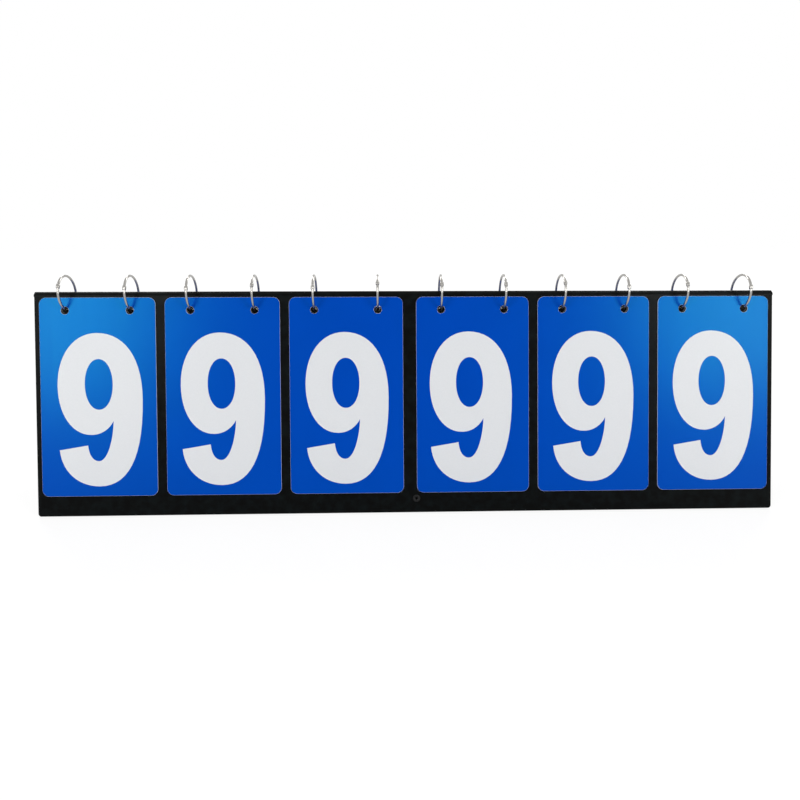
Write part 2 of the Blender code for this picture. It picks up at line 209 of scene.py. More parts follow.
LEATHERETTE_BLACK = "#020303"
LEATHERETTE_WORN = "#0A1011"
PEBBLE = 0.9 * MM
STRETCH_WAVE = 38 * MM
WEAR_PATCH = 7 * MM

fold = next(joint for joint in frame["joints"] if joint["name"] == "ridge_fold")
RIDGE_HEIGHT = fold["pos_m"][2] - RING_RISE


def wire_depth(offset):
    """How far below the ridge the rings' wire crosses the plane at an offset from it."""
    across = RING_RISE * sin(LEAN) - offset
    return sqrt(RING_RADIUS**2 - across**2) - RING_RISE * cos(LEAN)


def pick(piece, kind, wanted):
    """In edit mode, selects the verts, edges or faces that the test wants, and nothing else."""
    modes = ("verts", "edges", "faces")
    bpy.context.tool_settings.mesh_select_mode = [kind == mode for mode in modes]
    bpy.ops.mesh.select_all(action="DESELECT")
    cage = bmesh.from_edit_mesh(piece.data)
    for element in getattr(cage, kind):
        if wanted(element):
            element.select_set(True)
    bmesh.update_edit_mesh(piece.data)


def take_up(piece):
    """Selects a piece alone and makes it active."""
    bpy.ops.object.select_all(action="DESELECT")
    bpy.context.view_layer.objects.active = piece
    piece.select_set(True)


def fix_place():
    """Writes the place, turn and scale of what is selected into its mesh."""
    bpy.ops.object.transform_apply(location=True, rotation=True, scale=True)


def put(piece, location, rotation):
    """Turns a piece, moves it and fixes its place."""
    take_up(piece)
    piece.location = location
    piece.rotation_euler = rotation
    fix_place()


def add_block(name, low, high):
    """A block between two corners, alone in the selection and in edit mode."""
    bpy.ops.object.select_all(action="DESELECT")
    middle = [(a + b) / 2 for a, b in zip(low, high)]
    bpy.ops.mesh.primitive_cube_add(size=1.0, location=middle)
    block = bpy.context.object
    block.name = name
    block.scale = [b - a for a, b in zip(low, high)]
    fix_place()
    bpy.ops.object.mode_set(mode="EDIT")
    return block


def apply_modifiers(piece):
    """Applies every modifier of the piece, in order."""
    take_up(piece)
    for modifier in list(piece.modifiers):
        bpy.ops.object.modifier_apply(modifier=modifier.name)


def join(pieces, into):
    """Joins pieces into one of them."""
    bpy.ops.object.select_all(action="DESELECT")
    for piece in pieces:
        piece.select_set(True)
    bpy.context.view_layer.objects.active = into
    if len(pieces) > 1:
        bpy.ops.object.join()
    return into


def subtract(piece, tool):
    """Cuts the tool's shape out of a piece, and clears the tool away."""
    step = piece.modifiers.new("cut_out", "BOOLEAN")
    step.operation = "DIFFERENCE"
    step.solver = "EXACT"
    step.object = tool
    apply_modifiers(piece)
    bpy.data.objects.remove(tool)


def punch(piece, places, diameter, reach, sides=HOLE_SIDES, lean=0.0):
    """Punches round holes through a piece at (x, y, z) places, along Y or leaning from it."""
    bpy.ops.object.select_all(action="DESELECT")
    cutters = []
    for place in places:
        bpy.ops.mesh.primitive_cylinder_add(
            vertices=sides, radius=diameter / 2, depth=2 * reach, location=place,
            rotation=(pi / 2 + lean, 0.0, 0.0),
        )
        cutters.append(bpy.context.object)
    subtract(piece, join(cutters, cutters[-1]))


def punch_board(layer, fastener_x):
    """The holes through every layer of a board: twelve for the rings and one to fasten the strap."""
    depth = wire_depth((INNER_OFFSET + OUTER_OFFSET) / 2)
    holes = [(x + side * HOLE_SPACING / 2, 0.0, -depth) for x in COLUMN_CENTRES for side in (-1, 1)]
    punch(layer, holes, HOLE_DIAMETER, PUNCH_REACH)
    punch(layer, [(fastener_x, 0.0, -FASTENER_DEPTH)], FASTENER_HOLE, PUNCH_REACH)


def settle(piece, at_back):
    """Leans a piece made upright, with the ridge at the origin, onto its board."""
    put(piece, (0.0, 0.0, RIDGE_HEIGHT), (-LEAN, 0.0, pi if at_back else 0.0))


def shade(piece, angle=30.0):
    """Shades smooth, with the edges sharper than the angle kept."""
    take_up(piece)
    bpy.ops.object.shade_smooth_by_angle(angle=radians(angle))


def foot_corner(edge):
    """True for the two edges through the board at the ends of its foot."""
    first, second = edge.verts
    level = all(vert.co.z < NEARLY - BOARD_LENGTH for vert in edge.verts)
    return level and abs(first.co.x - second.co.x) < NEARLY


def wrapped_edge(edge, face_y):
    """True for the edges round a face of the board, apart from the one along its top."""
    on_face = all(abs(vert.co.y - face_y) < NEARLY for vert in edge.verts)
    return on_face and any(abs(f.normal.y) < 0.1 and f.normal.z < 0.9 for f in edge.link_faces)


def wrapped_board(name, fastener_x):
    """One cover, upright: the outer skin, the wrapped edges and the turned-in strips inside."""
    low = (-BOARD_HALF, -OUTER_OFFSET, -BOARD_LENGTH)
    cover = add_block(name, low, (BOARD_HALF, -INNER_OFFSET, -COVER_TOP))
    pick(cover, "edges", foot_corner)
    bpy.ops.mesh.bevel(offset=BOARD_CORNER, segments=CORNER_STEPS, affect="EDGES")
    rounds = (
        (-OUTER_OFFSET, EDGE_ROUND, EDGE_STEPS),
        (-INNER_OFFSET, TURN_IN_ROUND, TURN_IN_STEPS),
    )
    for face_y, rounding, steps in rounds:
        pick(cover, "edges", lambda edge: wrapped_edge(edge, face_y))
        bpy.ops.mesh.bevel(offset=rounding, segments=steps, affect="EDGES")
    bpy.ops.object.mode_set(mode="OBJECT")
    # The core's pocket and the shallow recess for the lining are both open along the top.
    floor = -INNER_OFFSET - TURN_IN_THICKNESS
    spaces = (
        ("core_space", COVER_RIM, -COVER_OFFSET, floor),
        ("lining_space", TURN_IN, floor - TURN_IN_THICKNESS, 0.0),
    )
    for label, margin, outer_y, inner_y in spaces:
        low = (-BOARD_HALF + margin, outer_y, -BOARD_LENGTH + margin)
        space = add_block(label, low, (BOARD_HALF - margin, inner_y, COVER_OFFSET))
        bpy.ops.object.mode_set(mode="OBJECT")
        subtract(cover, space)
    punch_board(cover, fastener_x)
    return cover


def start_finish(name):
    """A new material, its nodes, its shader and the coordinates that its patterns are drawn on."""
    finish = bpy.data.materials.new(name)
    finish.use_nodes = True
    tree = finish.node_tree
    return finish, tree, tree.nodes["Principled BSDF"], add_node(tree, "TexCoord")


def leatherette_finish():
    """Black PVC leatherette: a fine pebbled grain, a soft sheen and slight waves where it was stretched."""
    finish, tree, shader, place = start_finish("pvc_leatherette")
    cells = add_node(
        tree, "TexVoronoi", {"Vector": (place, "Object"), "Scale": 1 / PEBBLE, "Randomness": 0.9},
        feature="DISTANCE_TO_EDGE",
    )
    pebble = add_node(tree, "MapRange", {0: (cells, "Distance"), 1: 0.0, 2: 0.25, 3: 0.0, 4: 1.0})
    waves = add_node(
        tree, "TexNoise",
        {"Vector": (place, "Object"), "Scale": 1 / STRETCH_WAVE, "Detail": 3.0, "Roughness": 0.5},
    )
    wear = add_node(
        tree, "TexNoise",
        {"Vector": (place, "Object"), "Scale": 1 / WEAR_PATCH, "Detail": 5.0, "Roughness": 0.6},
    )
    worn = add_node(tree, "MapRange", {0: (wear, 0), 1: 0.42, 2: 0.75, 3: 0.0, 4: 1.0})
    colour = add_node(
        tree, "Mix", {0: (worn, 0), 6: linear(LEATHERETTE_BLACK), 7: linear(LEATHERETTE_WORN)},
        data_type="RGBA",
    )
    dull = add_node(tree, "MapRange", {0: (wear, 0), 1: 0.3, 2: 0.7, 3: 0.30, 4: 0.42})
    grain = add_node(tree, "Bump", {"Height": (pebble, 0), "Distance": 0.03 * MM, "Strength": 0.35})
    relief = add_node(
        tree, "Bump", {"Height": (waves, 0), "Distance": 2.2 * MM, "Strength": 0.5, "Normal": (grain, 0)},
    )
    feed(tree, shader, {
        "Base Color": (colour, 2), "Roughness": (dull, 0), "Normal": (relief, 0), "Specular IOR Level": 0.05,
    })
    return finish


LEATHERETTE = leatherette_finish()
for side, at_back, fastener_x in BOARDS:
    name = side + "_cover"
    cover = wrapped_board(name + "_leatherette", fastener_x)
    settle(cover, at_back)
    shade(cover)
    cover.data.materials.append(LEATHERETTE)
    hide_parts(name)
    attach(cover, "back_panel" if at_back else "front_panel")

# The cores. Two sheets of 1.5 mm greyboard, die cut and grey right through, with short pulp fibres
# that show as a fine fleck. They fill the covers and show only along the ridge and in the holes.
GREYBOARD = "#8C857B"
GREYBOARD_FLECK = "#6F685F"


def fibre_finish(name, colour, fleck, fibre, roughness, relief_depth):
    """Paper, board, thread or raw sheet: matt, with a fleck and a tooth the size of its fibres."""
    finish, tree, shader, place = start_finish(name)
    pulp = add_node(
        tree, "TexNoise",
        {"Vector": (place, "Object"), "Scale": 1 / fibre, "Detail": 4.0, "Roughness": 0.65},
    )
    flecked = add_node(tree, "MapRange", {0: (pulp, 0), 1: 0.45, 2: 0.7, 3: 0.0, 4: 1.0})
    tint = add_node(
        tree, "Mix", {0: (flecked, 0), 6: linear(colour), 7: linear(fleck)}, data_type="RGBA",
    )
    tooth = add_node(tree, "Bump", {"Height": (pulp, 0), "Distance": relief_depth, "Strength": 0.6})
    feed(tree, shader, {"Base Color": (tint, 2), "Normal": (tooth, 0), "Roughness": roughness})
    return finish


greyboard = fibre_finish(
    "raw_greyboard", GREYBOARD, GREYBOARD_FLECK, fibre=1.6 * MM, roughness=0.92, relief_depth=0.06 * MM,
)
for node in ("front_board", "back_board"):
    core = frame["nodes"][node]
    core.data.materials.clear()
    core.data.materials.append(greyboard)

# The linings. Black lining paper of 0.5 mm, pasted over the boards inside the turned-in edges of the
# leatherette, with the dull, slightly open face of book-end paper.
LINING_BLACK = "#141415"
LINING_FLECK = "#1D1D1E"
LINING_HALF = 301.0 * MM
LINING_THICKNESS = 0.5 * MM
LINING_TOP = 0.6 * MM
LINING_FOOT = 175.0 * MM
LINING_EDGE = 0.08 * MM
SHARP_EDGE = radians(60.0)


def break_edges(piece, width, segments=1):
    """Breaks or rounds the sharp edges of a piece."""
    edge = piece.modifiers.new("broken_edge", "BEVEL")
    edge.width = width
    edge.segments = segments
    edge.limit_method = "ANGLE"
    edge.angle_limit = SHARP_EDGE
    apply_modifiers(piece)


lining_paper = fibre_finish(
    "black_lining_paper", LINING_BLACK, LINING_FLECK, fibre=0.8 * MM, roughness=0.8, relief_depth=0.03 * MM,
)
for side, at_back, fastener_x in BOARDS:
    name = side + "_lining"
    low = (-LINING_HALF, -INNER_OFFSET - LINING_THICKNESS, -LINING_FOOT)
    lining = add_block(name + "_paper", low, (LINING_HALF, -INNER_OFFSET, -LINING_TOP))
    bpy.ops.object.mode_set(mode="OBJECT")
    punch_board(lining, fastener_x)
    break_edges(lining, LINING_EDGE)
    settle(lining, at_back)
    shade(lining)
    lining.data.materials.append(lining_paper)
    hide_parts(name)
    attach(lining, "back_panel" if at_back else "front_panel")

# The ridge strip. The same leatherette carried over the gap between the boards, which makes the
# tent's hinge. It is pressed into two shallow grooves along the boards' top edges.
COVER_THICKNESS = 0.7 * MM
RIDGE_TURNS = 24
RIDGE_ARC = pi / 2 - LEAN
RIDGE_LENGTHS = 96
GROOVE_DEPTH = 0.22 * MM
GROOVE_ANGLE = radians(38.0)
GROOVE_SPREAD = radians(14.0)
CURVED_SHADE = 40.0


def draw_line(name, points):
    """A chain of edges through points, alone in the selection and in edit mode."""
    bpy.ops.object.select_all(action="DESELECT")
    bpy.ops.mesh.primitive_plane_add(size=MM, location=points[0])
    line = bpy.context.object
    line.name = name
    fix_place()
    bpy.ops.object.mode_set(mode="EDIT")
    bpy.context.tool_settings.mesh_select_mode = (True, False, False)
    bpy.ops.mesh.select_all(action="SELECT")
    bpy.ops.mesh.merge(type="CENTER")
    for before, after in zip(points, points[1:]):
        step = Vector(after) - Vector(before)
        bpy.ops.mesh.extrude_region_move(TRANSFORM_OT_translate={"value": step})
    bpy.ops.mesh.select_all(action="SELECT")
    return line


def sweep_across(width, steps):
    """Extrudes the line in edit mode along X into a band, turns its faces one way and ends editing."""
    for step in range(steps):
        bpy.ops.mesh.extrude_region_move(TRANSFORM_OT_translate={"value": (width / steps, 0.0, 0.0)})
    bpy.ops.mesh.select_all(action="SELECT")
    bpy.ops.mesh.normals_make_consistent(inside=False)
    bpy.ops.object.mode_set(mode="OBJECT")


def thicken(piece, thickness, offset):
    """Gives a surface its wall: offset -1 builds it inwards and 0 to both sides."""
    wall = piece.modifiers.new("wall", "SOLIDIFY")
    wall.thickness = thickness
    wall.offset = offset
    apply_modifiers(piece)


arc = []
for turn in range(-RIDGE_TURNS // 2, RIDGE_TURNS // 2 + 1):
    angle = RIDGE_ARC * turn / (RIDGE_TURNS / 2)
    pressed = GROOVE_DEPTH * max(0.0, 1.0 - ((abs(angle) - GROOVE_ANGLE) / GROOVE_SPREAD) ** 2)
    radius = OUTER_OFFSET - pressed
    arc.append((-BOARD_HALF, radius * sin(angle), RIDGE_HEIGHT + radius * cos(angle)))
front_reach = Vector((0.0, -sin(LEAN), -cos(LEAN))) * COVER_TOP
back_reach = Vector((0.0, sin(LEAN), -cos(LEAN))) * COVER_TOP
arc = [tuple(Vector(arc[0]) + front_reach)] + arc + [tuple(Vector(arc[-1]) + back_reach)]
ridge = draw_line("ridge_leatherette", arc)
sweep_across(2 * BOARD_HALF, RIDGE_LENGTHS)
if ridge.data.polygons[len(arc) // 2].normal.z < 0.0:
    ridge.data.flip_normals()
thicken(ridge, COVER_THICKNESS, offset=-1.0)
shade(ridge, CURVED_SHADE)
ridge.data.materials.append(LEATHERETTE)
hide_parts("ridge_strip")
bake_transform(ridge)

# The spreader strap. A 20 mm band of doubled leatherette, stitched along both edges, that stops the
# tent from opening too far. It snaps to the front board and is riveted to the back one.
STRAP_WIDTH = 20.0 * MM
STRAP_THICKNESS = 1.0 * MM
STRAP_ROUND = 0.3 * MM
STRAP_TAB = 11.0 * MM
STRAP_BEND = 2.0 * MM
SPAN_HEIGHT = 4.5 * MM
BEND_STEPS = 8
SPAN_STEPS = 24
SNAP_STRAP_OFFSET = -1.9 * MM
RIVET_STRAP_OFFSET = 0.2 * MM
STRAP_PUNCH_REACH = 2 * MM
STITCH_LENGTH = 2.6 * MM
STITCH_PITCH = 3.6 * MM
STITCH_WIDTH = 0.5 * MM
STITCH_PROUD = 0.35 * MM
STITCH_MARGIN = 2.2 * MM
STITCH_SIDES = 6
STITCH_RINGS = 4
THREAD = "#2A2B2C"
THREAD_WORN = "#3A3B3C"


def panel_point(sign, offset, depth):
    """World (y, z) at an offset outwards and a depth down a board; sign is -1 at the front."""
    y = sign * (offset * cos(LEAN) + depth * sin(LEAN))
    return y, RIDGE_HEIGHT + offset * sin(LEAN) - depth * cos(LEAN)


def strap_half(sign, offset):
    """Half of the strap's line: down the lining, round the bend and into the level span."""
    bend_z = SPAN_HEIGHT + STRAP_BEND * (1.0 + sin(LEAN))
    bend_depth = (RIDGE_HEIGHT + offset * sin(LEAN) - bend_z) / cos(LEAN)
    line = [panel_point(sign, offset, FASTENER_DEPTH - STRAP_TAB)]
    bend_y, _ = panel_point(sign, offset, bend_depth)
    centre_y = bend_y - sign * STRAP_BEND * cos(LEAN)
    centre_z = bend_z - STRAP_BEND * sin(LEAN)
    for step in range(BEND_STEPS + 1):
        angle = LEAN - (pi / 2 + LEAN) * step / BEND_STEPS
        line.append((centre_y + sign * STRAP_BEND * cos(angle), centre_z + STRAP_BEND * sin(angle)))
    return line


front_half = strap_half(-1, SNAP_STRAP_OFFSET)
back_half = strap_half(1, RIVET_STRAP_OFFSET)
low_y, low_z = front_half[-1]
high_y, high_z = back_half[-1]
span = [
    (low_y + (high_y - low_y) * step / SPAN_STEPS, low_z + (high_z - low_z) * step / SPAN_STEPS)
    for step in range(1, SPAN_STEPS)
]
strap_line = front_half + span + back_half[::-1]
strap = draw_line("leatherette_strap", [(SNAP_SIDE - STRAP_WIDTH / 2, y, z) for y, z in strap_line])
sweep_across(STRAP_WIDTH, steps=1)
thicken(strap, STRAP_THICKNESS, offset=0.0)
break_edges(strap, STRAP_ROUND, segments=2)
for sign, offset in ((-1, SNAP_STRAP_OFFSET), (1, RIVET_STRAP_OFFSET)):
    y, z = panel_point(sign, offset, FASTENER_DEPTH)
    punch(strap, [(SNAP_SIDE, y, z)], FASTENER_HOLE, STRAP_PUNCH_REACH, lean=sign * LEAN)
strap.data.materials.append(LEATHERETTE)

# Its stitches, each a small bead of waxed thread that goes through both layers.
thread = fibre_finish(
    "waxed_thread", THREAD, THREAD_WORN, fibre=0.5 * MM, roughness=0.6, relief_depth=0.05 * MM,
)
strap.data.materials.append(thread)
bpy.ops.object.select_all(action="DESELECT")
lengths = [0.0]
for (y0, z0), (y1, z1) in zip(strap_line, strap_line[1:]):
    lengths.append(lengths[-1] + hypot(y1 - y0, z1 - z0))
stitches = []
along = STITCH_PITCH
while along < lengths[-1] - STITCH_PITCH:
    link = max(index for index, length in enumerate(lengths) if length <= along)
    (y0, z0), (y1, z1) = strap_line[link], strap_line[link + 1]
    share = (along - lengths[link]) / hypot(y1 - y0, z1 - z0)
    y, z = y0 + (y1 - y0) * share, z0 + (z1 - z0) * share
    slope = Vector((0.0, y1 - y0, z1 - z0)).normalized()
    for side in (-1.0, 1.0):
        x = SNAP_SIDE + side * (STRAP_WIDTH / 2 - STITCH_MARGIN)
        bpy.ops.mesh.primitive_uv_sphere_add(
            segments=STITCH_SIDES, ring_count=STITCH_RINGS, radius=0.5, location=(x, y, z),
        )
        stitch = bpy.context.object
        stitch.scale = (STITCH_WIDTH, STRAP_THICKNESS + STITCH_PROUD, STITCH_LENGTH)
        stitch.rotation_euler = slope.to_track_quat("Z", "Y").to_euler()
        fix_place()
        stitch.data.materials.append(thread)
        stitches.append(stitch)
    along += STITCH_PITCH
join([strap] + stitches, strap)
shade(strap, CURVED_SHADE)
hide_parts("spreader_strap")
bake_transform(strap)

# The press stud and the rivet. Deep-drawn brass in black enamel, as sold for bags: a hollow eyelet
# with a rolled rim outside, the stud and socket within, and a tubular rivet at the back.
TURNED_SIDES = 40
TURNED_MERGE = 0.005 * MM
ENAMEL = "#08090A"
ENAMEL_RUB = "#1E1D1C"
ENAMEL_RUB_PATCH = 1.5 * MM
# Each piece's section in mm, as (radius, y) with y the place across the board, inside positive.
TURNED_PIECES = (
    ("snap_eyelet", SNAP_SIDE, False, [
        (1.0, -1.0), (1.6, -1.0), (1.6, -4.55), (2.4, -4.55), (3.0, -4.6), (3.1, -4.8), (3.0, -4.98),
        (2.6, -5.1), (1.9, -5.1), (1.35, -4.95), (1.05, -4.6), (1.0, -4.2), (1.0, -1.0),
    ]),
    ("snap_stud", SNAP_SIDE, False, [
        (0.0, -0.7), (4.2, -0.7), (4.45, -0.6), (4.5, -0.45), (4.4, -0.25), (2.4, -0.2), (2.05, 0.1),
        (2.05, 0.6), (2.3, 0.95), (2.25, 1.25), (1.9, 1.4), (0.0, 1.4),
    ]),
    ("snap_socket", SNAP_SIDE, False, [
        (2.6, 0.1), (4.6, 0.1), (4.78, 0.25), (4.8, 0.6), (4.7, 0.95), (4.4, 1.1), (3.2, 1.1), (2.75, 1.02),
        (2.6, 0.8), (2.6, 0.1),
    ]),
    ("snap_cap", SNAP_SIDE, False, [
        (1.0, 1.4), (1.6, 1.4), (1.6, 2.7), (4.4, 2.7), (4.75, 2.8), (4.8, 2.95), (4.6, 3.1), (3.6, 3.18),
        (1.6, 3.2), (1.1, 3.1), (1.0, 2.8), (1.0, 1.4),
    ]),
    ("rivet_post", -SNAP_SIDE, True, [
        (1.0, 0.3), (1.6, 0.3), (1.6, -4.55), (2.4, -4.55), (3.0, -4.6), (3.1, -4.8), (3.0, -4.98),
        (2.6, -5.1), (1.9, -5.1), (1.35, -4.95), (1.05, -4.6), (1.0, -4.2), (1.0, 0.3),
    ]),
    ("rivet_burr", -SNAP_SIDE, True, [
        (1.0, 0.6), (4.4, 0.6), (4.75, 0.68), (4.8, 0.8), (4.7, 0.98), (4.3, 1.08), (1.4, 1.1), (1.05, 1.0),
        (1.0, 0.6),
    ]),
)


def turned(name, profile, place_x):
    """A ring turned round Y, upright at the fastener's place, from (radius, y) round its section."""
    centre = Vector((place_x, 0.0, -FASTENER_DEPTH))
    points = [centre + Vector((radius, y, 0.0)) for radius, y in profile]
    piece = draw_line(name, points)
    bpy.ops.mesh.spin(
        steps=TURNED_SIDES, angle=2 * pi, use_auto_merge=False, center=centre, axis=(0.0, 1.0, 0.0),
    )
    bpy.ops.mesh.select_all(action="SELECT")
    bpy.ops.mesh.remove_doubles(threshold=TURNED_MERGE)
    bpy.ops.mesh.normals_make_consistent(inside=False)
    bpy.ops.object.mode_set(mode="OBJECT")
    return piece


def enamel_finish():
    """Black enamel over brass: smooth and half bright, dulled and rubbed brown where fingers press it."""
    finish, tree, shader, place = start_finish("black_enamelled_brass")
    rub = add_node(
        tree, "TexNoise", {"Vector": (place, "Object"), "Scale": 1 / ENAMEL_RUB_PATCH, "Detail": 4.0},
    )
    rubbed = add_node(tree, "MapRange", {0: (rub, 0), 1: 0.5, 2: 0.8, 3: 0.0, 4: 1.0})
    tint = add_node(
        tree, "Mix", {0: (rubbed, 0), 6: linear(ENAMEL), 7: linear(ENAMEL_RUB)}, data_type="RGBA",
    )
    dull = add_node(tree, "MapRange", {0: (rub, 0), 1: 0.3, 2: 0.7, 3: 0.28, 4: 0.45})
    feed(tree, shader, {"Base Color": (tint, 2), "Roughness": (dull, 0), "Specular IOR Level": 0.2})
    return finish


ENAMELLED = enamel_finish()
for name, side_x, at_back, profile in TURNED_PIECES:
    piece = turned(name + "_enamelled", [(radius * MM, y * MM) for radius, y in profile], side_x)
    settle(piece, at_back)
    shade(piece, CURVED_SHADE)
    piece.data.materials.append(ENAMELLED)
    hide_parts(name)
    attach(piece, "back_panel" if at_back else "front_panel")

# The number cards. White PVC sheet of 0.4 mm, printed blue on both sides with the numeral left white,
# laminated, die cut with round corners and punched twice to hang on the rings.
CARD_WIDTH = 94.0 * MM
CARD_HEIGHT = 163.0 * MM
CARD_THICKNESS = 0.4 * MM
CARD_CORNER = 5.5 * MM
CARD_EDGE = 0.12 * MM
HOLE_DEPTH = 10.5 * MM
CARD_SLACK = 1.15 * MM
FRONT_CARD_OFFSET = 4.8 * MM
BACK_CARD_OFFSET = 8.7 * MM
CARD_BLUE = "#003CB4"
CARD_BLUE_DEEP = "#0035A8"
FILM_TINT = "#2CF0FF"
CARD_CORE = "#DADDE2"
CARD_CORE_FLECK = "#CDD1D8"
FILM_LINE_WIDTH = 1.4 * MM
FILM_LINE_LENGTH = 60 * MM
FILM_PEEL = 1.1 * MM
INK_CLOUD = 45 * MM


def hang_depth(offset, slack):
    """The depth of a card's top edge, where its holes rest on the wire with some slack."""
    return wire_depth(offset) + slack - HOLE_DEPTH


def cut_card(name, offset, top_depth, shift=0.0, turn=0.0, sides=HOLE_SIDES):
    """One card, upright: die cut, punched and with its edges just broken."""
    low = (-CARD_WIDTH / 2, -CARD_THICKNESS / 2, -CARD_HEIGHT)
    card = add_block(name, low, (CARD_WIDTH / 2, CARD_THICKNESS / 2, 0.0))
    pick(card, "edges", lambda e: abs(e.verts[0].co.y - e.verts[1].co.y) > CARD_THICKNESS / 2)
    bpy.ops.mesh.bevel(offset=CARD_CORNER, segments=CORNER_STEPS, affect="EDGES")
    bpy.ops.object.mode_set(mode="OBJECT")
    holes = [(side * HOLE_SPACING / 2, 0.0, -HOLE_DEPTH) for side in (-1, 1)]
    punch(card, holes, HOLE_DIAMETER, PUNCH_REACH, sides)
    break_edges(card, CARD_EDGE)
    put(card, (shift, -offset, -top_depth), (0.0, turn, 0.0))
    return card


def laminate_finish():
    """Blue ink under gloss film: a bright sheen, the film's orange peel and faint lines along the sheet."""
    finish, tree, shader, place = start_finish("laminated_blue_pvc")
    across, down = 1 / FILM_LINE_WIDTH, 1 / FILM_LINE_LENGTH
    drawn = add_node(tree, "Mapping", {"Vector": (place, "Object"), "Scale": (across, down, down)})
    streak = add_node(
        tree, "TexNoise", {"Vector": (drawn, 0), "Scale": 1.0, "Detail": 3.0, "Roughness": 0.6},
    )
    peel = add_node(
        tree, "TexNoise",
        {"Vector": (place, "Object"), "Scale": 1 / FILM_PEEL, "Detail": 2.0, "Roughness": 0.5},
    )
    cloud = add_node(
        tree, "TexNoise",
        {"Vector": (place, "Object"), "Scale": 1 / INK_CLOUD, "Detail": 2.0, "Roughness": 0.5},
    )
    ink = add_node(
        tree, "Mix", {0: (cloud, 0), 6: linear(CARD_BLUE), 7: linear(CARD_BLUE_DEEP)}, data_type="RGBA",
    )
    dull = add_node(tree, "MapRange", {0: (streak, 0), 1: 0.3, 2: 0.7, 3: 0.28, 4: 0.32})
    fine = add_node(tree, "Bump", {"Height": (peel, 0), "Distance": 0.035 * MM, "Strength": 0.5})
    lines = add_node(
        tree, "Bump", {"Height": (streak, 0), "Distance": 0.03 * MM, "Strength": 0.1, "Normal": (fine, 0)},
    )
    feed(tree, shader, {
        "Base Color": (ink, 2), "Roughness": (dull, 0), "Normal": (lines, 0),
        "Specular IOR Level": 0.45, "Specular Tint": linear(FILM_TINT),
    })
    return finish


LAMINATE = laminate_finish()
PVC_CORE = fibre_finish(
    "white_pvc_core", CARD_CORE, CARD_CORE_FLECK, fibre=0.4 * MM, roughness=0.5, relief_depth=0.01 * MM,
)


def face_card(card, node, body):
    """Blue film on a card's two faces, white core on its cut edges, and its place on its body."""
    card.data.materials.append(LAMINATE)
    card.data.materials.append(PVC_CORE)
    for face in card.data.polygons:
        face.material_index = 0 if abs(face.normal.y) > 0.9 else 1
    settle(card, "front_card" not in node)
    shade(card)
    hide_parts(node)
    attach(card, body)


for column, centre in enumerate(COLUMN_CENTRES, 1):
    for side, offset, x in (("front", FRONT_CARD_OFFSET, centre), ("back", BACK_CARD_OFFSET, -centre)):
        node = f"column_{column}_{side}_card"
        card = cut_card(node + "_printed", offset, hang_depth(offset, CARD_SLACK), x)
        face_card(card, node, node)

# The numerals. White ink under the film, in one bold upright face. The front cards read 9; the faces
# turned away from the photograph are a guess, 0 next at the front and 8 and 9 at the back.
NUMERAL_WIDTH = 68.7 * MM
NUMERAL_HEIGHT = 126.0 * MM
NUMERAL_TOP = 28.9 * MM
NUMERAL_STEPS = 14
INK_THICKNESS = 0.03 * MM
INK_WHITE = "#E4E6E8"
INK_SHADE = "#DDDFE2"
PRINT_SHIFTS = [shift * MM for shift in (1.2, -0.4, 0.4, -1.6, -0.4, 0.3)]
OVAL_PULL = 0.58


def oval(left, top, right, bottom):
    """An upright oval as four smooth points, each (place, handle in, handle out)."""
    u, v = (left + right) / 2, (top + bottom) / 2
    reach_u, reach_v = (right - left) / 2 * OVAL_PULL, (bottom - top) / 2 * OVAL_PULL
    return [
        ((u, top), (u - reach_u, top), (u + reach_u, top)),
        ((right, v), (right, v - reach_v), (right, v + reach_v)),
        ((u, bottom), (u + reach_u, bottom), (u - reach_u, bottom)),
        ((left, v), (left, v + reach_v), (left, v - reach_v)),
    ]


# Each numeral's loops, in shares of its width from the left and of its height from the top.
NUMERALS = {
    "0": [oval(0.0, 0.0, 1.0, 1.0), oval(0.325, 0.165, 0.675, 0.835)],
    "8": [
        [
            ((0.5, 0.0), (0.25, 0.0), (0.75, 0.0)), ((0.95, 0.27), (0.95, 0.11), (0.95, 0.37)),
            ((0.78, 0.475), (0.90, 0.44), (0.93, 0.52)), ((1.0, 0.73), (1.0, 0.61), (1.0, 0.90)),
            ((0.5, 1.0), (0.78, 1.0), (0.22, 1.0)), ((0.0, 0.73), (0.0, 0.90), (0.0, 0.61)),
            ((0.22, 0.475), (0.07, 0.52), (0.10, 0.44)), ((0.05, 0.27), (0.05, 0.37), (0.05, 0.11)),
        ],
        oval(0.345, 0.145, 0.655, 0.395), oval(0.32, 0.565, 0.68, 0.85),
    ],
    "9": [
        [
            ((0.012, 0.762), (0.035, 0.905), (0.012, 0.762)), ((0.346, 0.732), (0.346, 0.732), (0.357, 0.80)),
            ((0.475, 0.835), (0.405, 0.835), (0.572, 0.835)),
            ((0.652, 0.573), (0.645, 0.700), (0.595, 0.632)), ((0.389, 0.663), (0.50, 0.663), (0.165, 0.663)),
            ((0.0, 0.342), (0.0, 0.535), (0.0, 0.140)), ((0.469, 0.0), (0.195, 0.0), (0.79, 0.0)),
            ((1.0, 0.429), (1.0, 0.155), (1.0, 0.83)), ((0.481, 1.0), (0.80, 1.0), (0.225, 1.0)),
        ],
        oval(0.319, 0.169, 0.649, 0.499),
    ],
}


